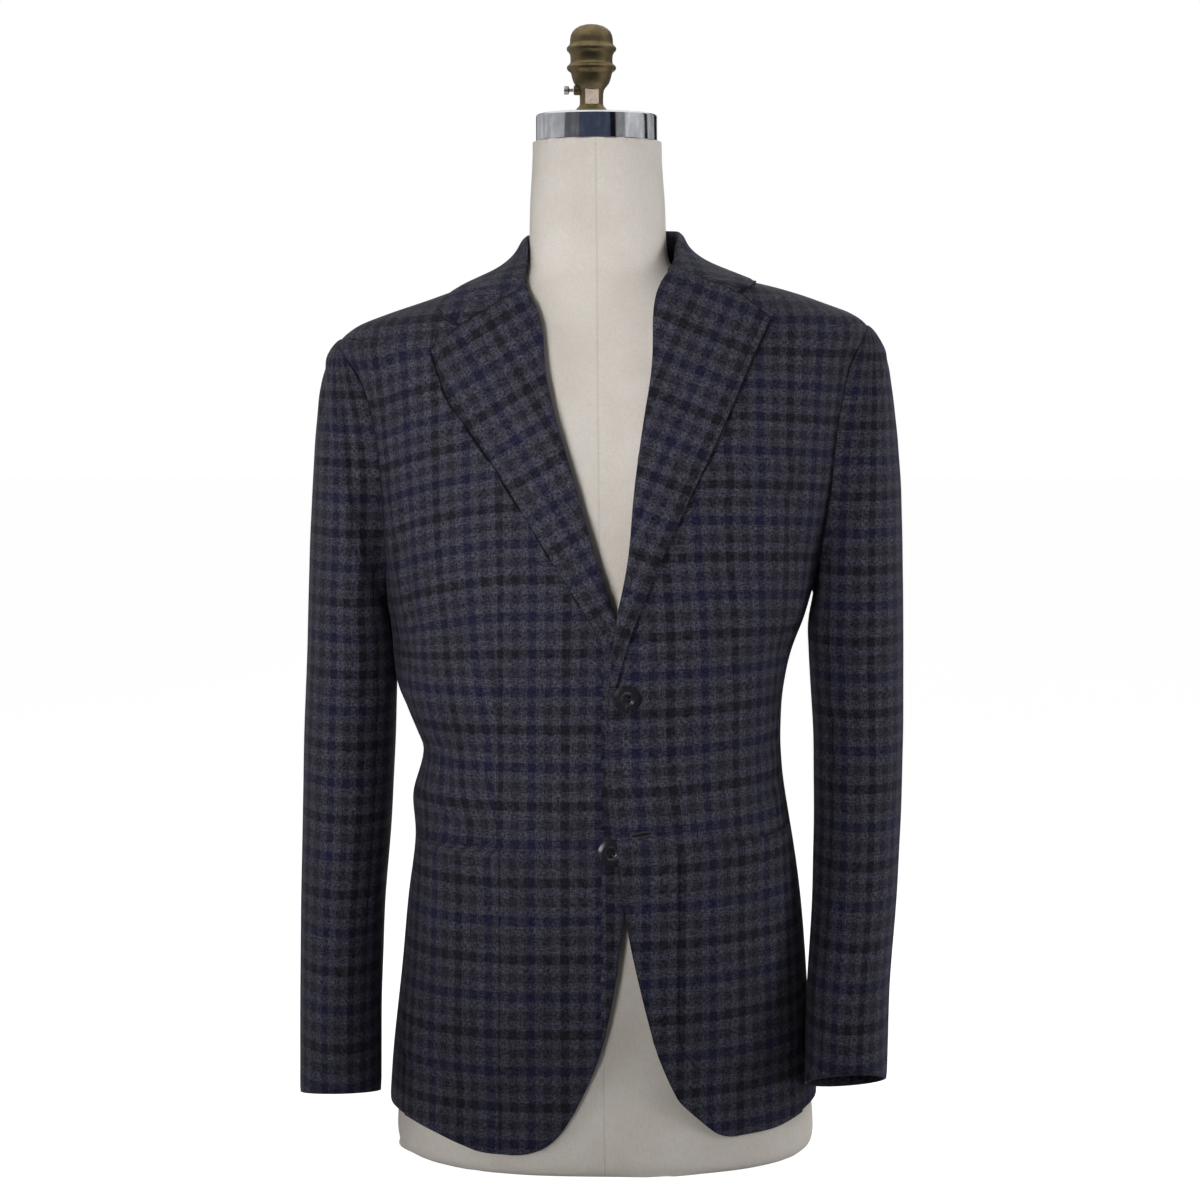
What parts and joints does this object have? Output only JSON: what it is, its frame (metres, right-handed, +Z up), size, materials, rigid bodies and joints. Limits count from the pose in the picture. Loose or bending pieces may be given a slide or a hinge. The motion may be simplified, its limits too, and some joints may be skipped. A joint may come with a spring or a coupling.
{
  "type": "blazer on a dress form",
  "caption": "Single-breasted notch-lapel blazer in checked wool flannel with patch pockets, worn by a limbless canvas-covered dress form with a metal neck cap and turned finial.",
  "frame": {"origin": "middle of the dress form's flat base, on the surface that it stands on", "axes": "+Z up through the neck to the finial, -Y the way the blazer's front faces, +X towards the wearer's left"},
  "size_m": [0.5094, 0.2758, 0.9425],
  "materials": {
    "wool": "brushed wool flannel in charcoal and navy, melange, woven in an even small check",
    "horn": "polished dark horn, mottled",
    "canvas": "cream cotton canvas drawn tight over the form",
    "chrome": "polished",
    "brass": "aged, satin",
    "nickel": "nickel, lightly worn"
  },
  "bodies": {
    "dressed_form": {"front_right": "wool", "front_left": "wool", "side_right": "wool", "side_left": "wool", "back_right": "wool", "back_left": "wool", "lapel_right": "wool", "lapel_left": "wool", "collar": "wool", "patch_pocket_right": "wool", "patch_pocket_left": "wool", "breast_welt": "wool", "top_sleeve_right": "wool", "under_sleeve_right": "wool", "top_sleeve_left": "wool", "under_sleeve_left": "wool", "button_fastened": "horn", "button_lower": "horn", "form_body": "canvas", "neck_cap": "chrome", "finial": "brass"},
    "screw": {"thumb_screw": "nickel"}
  },
  "joints": [
    {"name": "thumb_screw_turn", "type": "hinge", "parent": "dressed_form", "child": "screw", "pos_m": [-0.0285, 0, 0.8865], "axis": [-1, 0, 0], "continuous": true}
  ]
}
